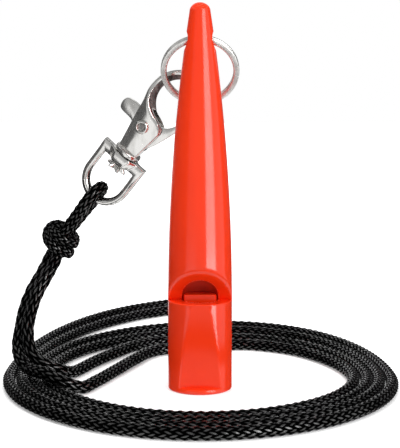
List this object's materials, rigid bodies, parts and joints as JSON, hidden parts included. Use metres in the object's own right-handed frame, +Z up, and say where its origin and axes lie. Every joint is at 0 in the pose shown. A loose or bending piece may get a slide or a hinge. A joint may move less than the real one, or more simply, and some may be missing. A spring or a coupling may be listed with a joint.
{
  "type": "dog whistle",
  "caption": "Upright pealess orange plastic dog whistle with a split ring through its tip, a swivel trigger hook and a coiled black braided neck lanyard.",
  "frame": {"origin": "The centre of the mouthpiece end, which the whistle stands on.", "axes": "+Z runs up along the whistle from the mouthpiece to the tip, and -Y is the way its window faces."},
  "size_m": [0.0894, 0.1435, 0.085],
  "materials": {
    "orange_plastic": "smooth moulded ABS, glossy",
    "nickel_wire": "polished nickel plate on flat wire",
    "nickel_casting": "polished nickel plate on a casting",
    "spring_steel": "drawn wire",
    "black_cord": "braided nylon with a slight sheen"
  },
  "bodies": {
    "whistle": {"whistle_body": "orange_plastic", "fipple_plug": "orange_plastic", "lanyard_loops": "black_cord", "lanyard_drop_front": "black_cord", "lanyard_drop_rear": "black_cord"},
    "ring": {"split_ring": "nickel_wire"},
    "hook": {"hook_body": "nickel_casting", "gate_rivet": "nickel_casting", "gate_spring": "spring_steel", "swivel_rivet": "nickel_casting"},
    "gate": {"gate_lever": "nickel_casting"},
    "eye": {"swivel_eye": "nickel_casting", "lanyard_eye_loop": "black_cord", "lanyard_knot": "black_cord"}
  },
  "joints": [
    {"name": "ring_swing", "type": "hinge", "parent": "whistle", "child": "ring", "pos_m": [0, 0, 0.0769], "axis": [1, 0, 0], "range_deg": [0, 60], "deforming": ["lanyard_drop_front", "lanyard_drop_rear"]},
    {"name": "hook_swing", "type": "hinge", "parent": "ring", "child": "hook", "pos_m": [-0.004, 0.00753, 0.06437], "axis": [-0.3068, -0.9482, -0.0827], "range_deg": [-40, 30], "deforming": ["lanyard_drop_front", "lanyard_drop_rear"]},
    {"name": "gate_open", "type": "hinge", "parent": "hook", "child": "gate", "pos_m": [-0.01246, 0.01081, 0.05786], "axis": [-0.3068, -0.9482, -0.0827], "range_deg": [0, 7], "stiffness_Nm_per_rad": 0.02, "springref_deg": -11.46, "deforming": ["gate_spring"]},
    {"name": "eye_swivel", "type": "hinge", "parent": "hook", "child": "eye", "pos_m": [-0.01686, 0.01281, 0.05134], "axis": [0.5947, -0.2588, 0.7612], "continuous": true, "deforming": ["lanyard_drop_front", "lanyard_drop_rear"]}
  ]
}
